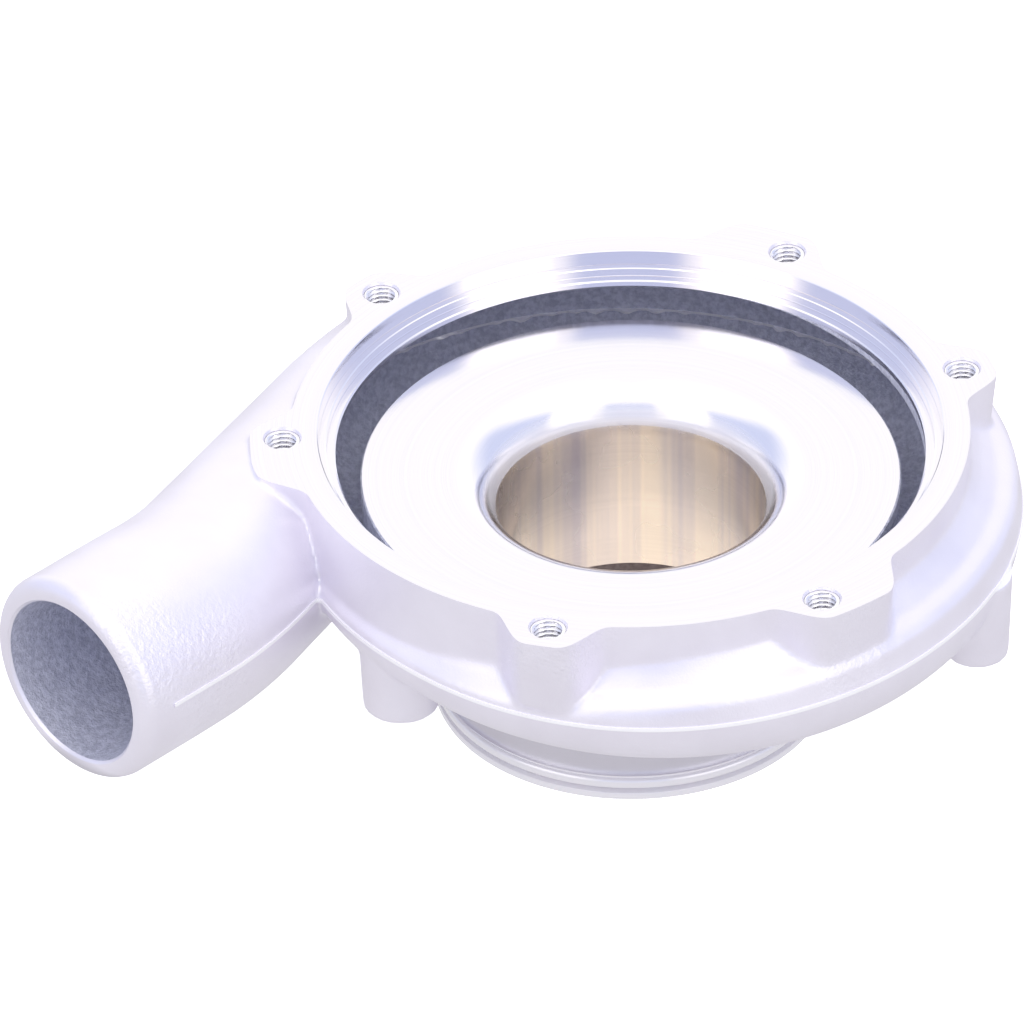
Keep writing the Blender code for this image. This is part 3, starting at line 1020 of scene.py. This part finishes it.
def camera():
    """Looks down along +Y, with the flange face's middle a little right of the picture's middle and above it."""
    elevation = math.radians(VIEW_ELEVATION)
    roll = math.radians(VIEW_ROLL)
    ahead = Vector((0.0, math.cos(elevation), -math.sin(elevation)))
    level = Vector((1.0, 0.0, 0.0))
    above = level.cross(ahead)
    right = math.cos(roll) * level + math.sin(roll) * above
    up = math.cos(roll) * above - math.sin(roll) * level
    face = Vector((AXIS.x, AXIS.y, HEIGHT))
    place = face - VIEW_DISTANCE * ahead - FACE_RIGHT * right - FACE_UP * up
    lens = bpy.data.cameras.new("camera")
    lens.lens = LENS
    lens.sensor_width = SENSOR
    lens.clip_end = 20.0
    eye = bpy.data.objects.new("camera", lens)
    bpy.context.scene.collection.objects.link(eye)
    turn = Matrix((right, up, -ahead)).transposed()
    eye.matrix_world = Matrix.Translation(place) @ turn.to_4x4()
    bpy.context.scene.camera = eye


# The tent. Angles are in degrees to either side of the gap's middle. Each pair is the two ends of a soft edge.
TENT_LIGHT = 1.32
TENT_COLOUR = (1.0, 0.99, 1.0, 1.0)
GAP_COLOUR = (0.55, 0.60, 0.79, 1.0)
WALL_SHARE = 0.95
BACK_DARK = 0.1
TABLE_DARK = 0.40
BOX_EXTRA = 0.35
GAP_EDGE = (16.0, 25.0)
BOX_START = (25.0, 32.0)
BOX_END = (58.0, 66.0)
WALL_START = (62.0, 72.0)
WALL_END = (122.0, 158.0)
BACK_START = (150.0, 170.0)
# Heights on the unit sphere: the dark parts' top, and the table's edge.
DARK_TOP = (0.60, 0.80)
TABLE_EDGE = (-0.05, 0.05)


def studio_light():
    """A white tent with a dark gap where the camera looks in and a greyer wall on each side."""
    world = bpy.data.worlds.new("tent")
    bpy.context.scene.world = world
    world.use_nodes = True
    tree = world.node_tree
    nodes = tree.nodes
    links = tree.links
    sky = nodes["Background"]
    where = nodes.new("ShaderNodeTexCoord")
    parts = nodes.new("ShaderNodeSeparateXYZ")
    links.new(where.outputs["Generated"], parts.inputs[0])

    def calc(operation, *values):
        node = nodes.new("ShaderNodeMath")
        node.operation = operation
        for socket, value in zip(node.inputs, values):
            if isinstance(value, bpy.types.NodeSocket):
                links.new(value, socket)
            else:
                socket.default_value = value
        return node.outputs[0]

    def step(value, low, high):
        node = nodes.new("ShaderNodeMapRange")
        node.interpolation_type = "SMOOTHSTEP"
        links.new(value, node.inputs[0])
        node.inputs[1].default_value = low
        node.inputs[2].default_value = high
        return node.outputs[0]

    x, y, z = parts.outputs
    side = calc("ABSOLUTE", calc("ARCTAN2", x, calc("MULTIPLY", y, -1.0)))

    def round_from(angles):
        return step(side, math.radians(angles[0]), math.radians(angles[1]))

    def rest_of(value):
        return calc("SUBTRACT", 1.0, value)

    gap = rest_of(round_from(GAP_EDGE))
    wall = calc("MULTIPLY", round_from(WALL_START), rest_of(round_from(WALL_END)))
    below_top = rest_of(step(z, *DARK_TOP))
    above_table = step(z, *TABLE_EDGE)
    between_lights = calc("MAXIMUM", gap, calc("MULTIPLY", wall, WALL_SHARE))
    dark = calc("MULTIPLY", between_lights, calc("MULTIPLY", below_top, above_table))
    shade = rest_of(calc("MULTIPLY", rest_of(above_table), TABLE_DARK))
    back = calc("MULTIPLY", round_from(BACK_START), BACK_DARK)
    boxes = calc("MULTIPLY", round_from(BOX_START), above_table)
    boxes = calc("MULTIPLY", boxes, rest_of(round_from(BOX_END)))
    lit = calc("MULTIPLY", shade, calc("ADD", rest_of(back), calc("MULTIPLY", boxes, BOX_EXTRA)))
    links.new(calc("MULTIPLY", lit, TENT_LIGHT), sky.inputs["Strength"])
    tint = nodes.new("ShaderNodeMix")
    tint.data_type = "RGBA"
    links.new(dark, tint.inputs[0])
    tint.inputs[6].default_value = TENT_COLOUR
    tint.inputs[7].default_value = GAP_COLOUR
    links.new(tint.outputs[2], sky.inputs["Color"])


def floor():
    plane = new_object("floor", [(a * FLOOR_HALF, b * FLOOR_HALF, 0.0) for a, b in SQUARE], [(0, 1, 2, 3)])
    plane.data.materials.append(studio_floor())
    # The object sees the tent's darker foot in place of this bright floor.
    plane.visible_diffuse = False
    plane.visible_glossy = False


def card():
    """A glowing disc that lies on the floor inside the inlet's mouth: a painted reflection for the bore. Only the
    bore's shine shows it.
    """
    ring = turned([(CARD_R, HEIGHT - CARD_HEIGHT)], HOLE_ROUND)[0]
    disc = new_object("card", ring, [tuple(range(HOLE_ROUND))])
    disc.data.materials.append(glowing_reflection_card())


# ---------------------------------------------------------------- the whole


def main():
    scene = bpy.context.scene
    scene.view_settings.view_transform = "Standard"
    camera()
    studio_light()
    floor()
    card()

    skins = [
        cast_skin(),
        turned_metal(
            "turned_face",
            colour=(0.87, 0.85, 0.89),
            reflection_streak_colour=(0.86, 0.85, 0.89),
            roughness=0.13,
            anisotropy=0.5,
            groove=0.25 * MM,
            groove_depth=0.004 * MM,
            foot_metal=FLARE_METAL,
        ),
        # Painted reflection: the bore's warm gold colour and its darker bands stand for what its shine shows; the
        # bare alloy is not gold.
        turned_metal(
            "bored_wall_painted_reflection",
            colour=(0.93, 0.86, 0.77),
            reflection_streak_colour=(0.68, 0.65, 0.70),
            roughness=0.28,
            anisotropy=0.85,
            groove=0.6 * MM,
            groove_depth=0.001 * MM,
            foot_metal=1.0,
        ),
        core_skin("core_skin", (0.58, 0.59, 0.69), (0.78, 0.79, 0.90)),
        # Painted shade: the mouth's skin is dark for the shade inside the inlet, though it is the same cast metal
        # as the channel's walls.
        core_skin("mouth_painted_shade", (0.16, 0.13, 0.14), (0.22, 0.19, 0.20)),
        line_highlight_skin(),
    ]
    cover = with_flash(cast_blank(), skins)
    machined(cover, skins)
    shade_smooth(cover, COVER_CREASE)
    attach(cover, "root")
    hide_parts("volute_cover")

    steel = wire_steel()
    for number, (node, place) in enumerate(zip(INSERTS, HOLE_PLACES), start=1):
        insert = thread_insert(number, place)
        insert.data.materials.append(steel)
        shade_smooth(insert, INSERT_CREASE)
        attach(insert, "root")
        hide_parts(node)


main()
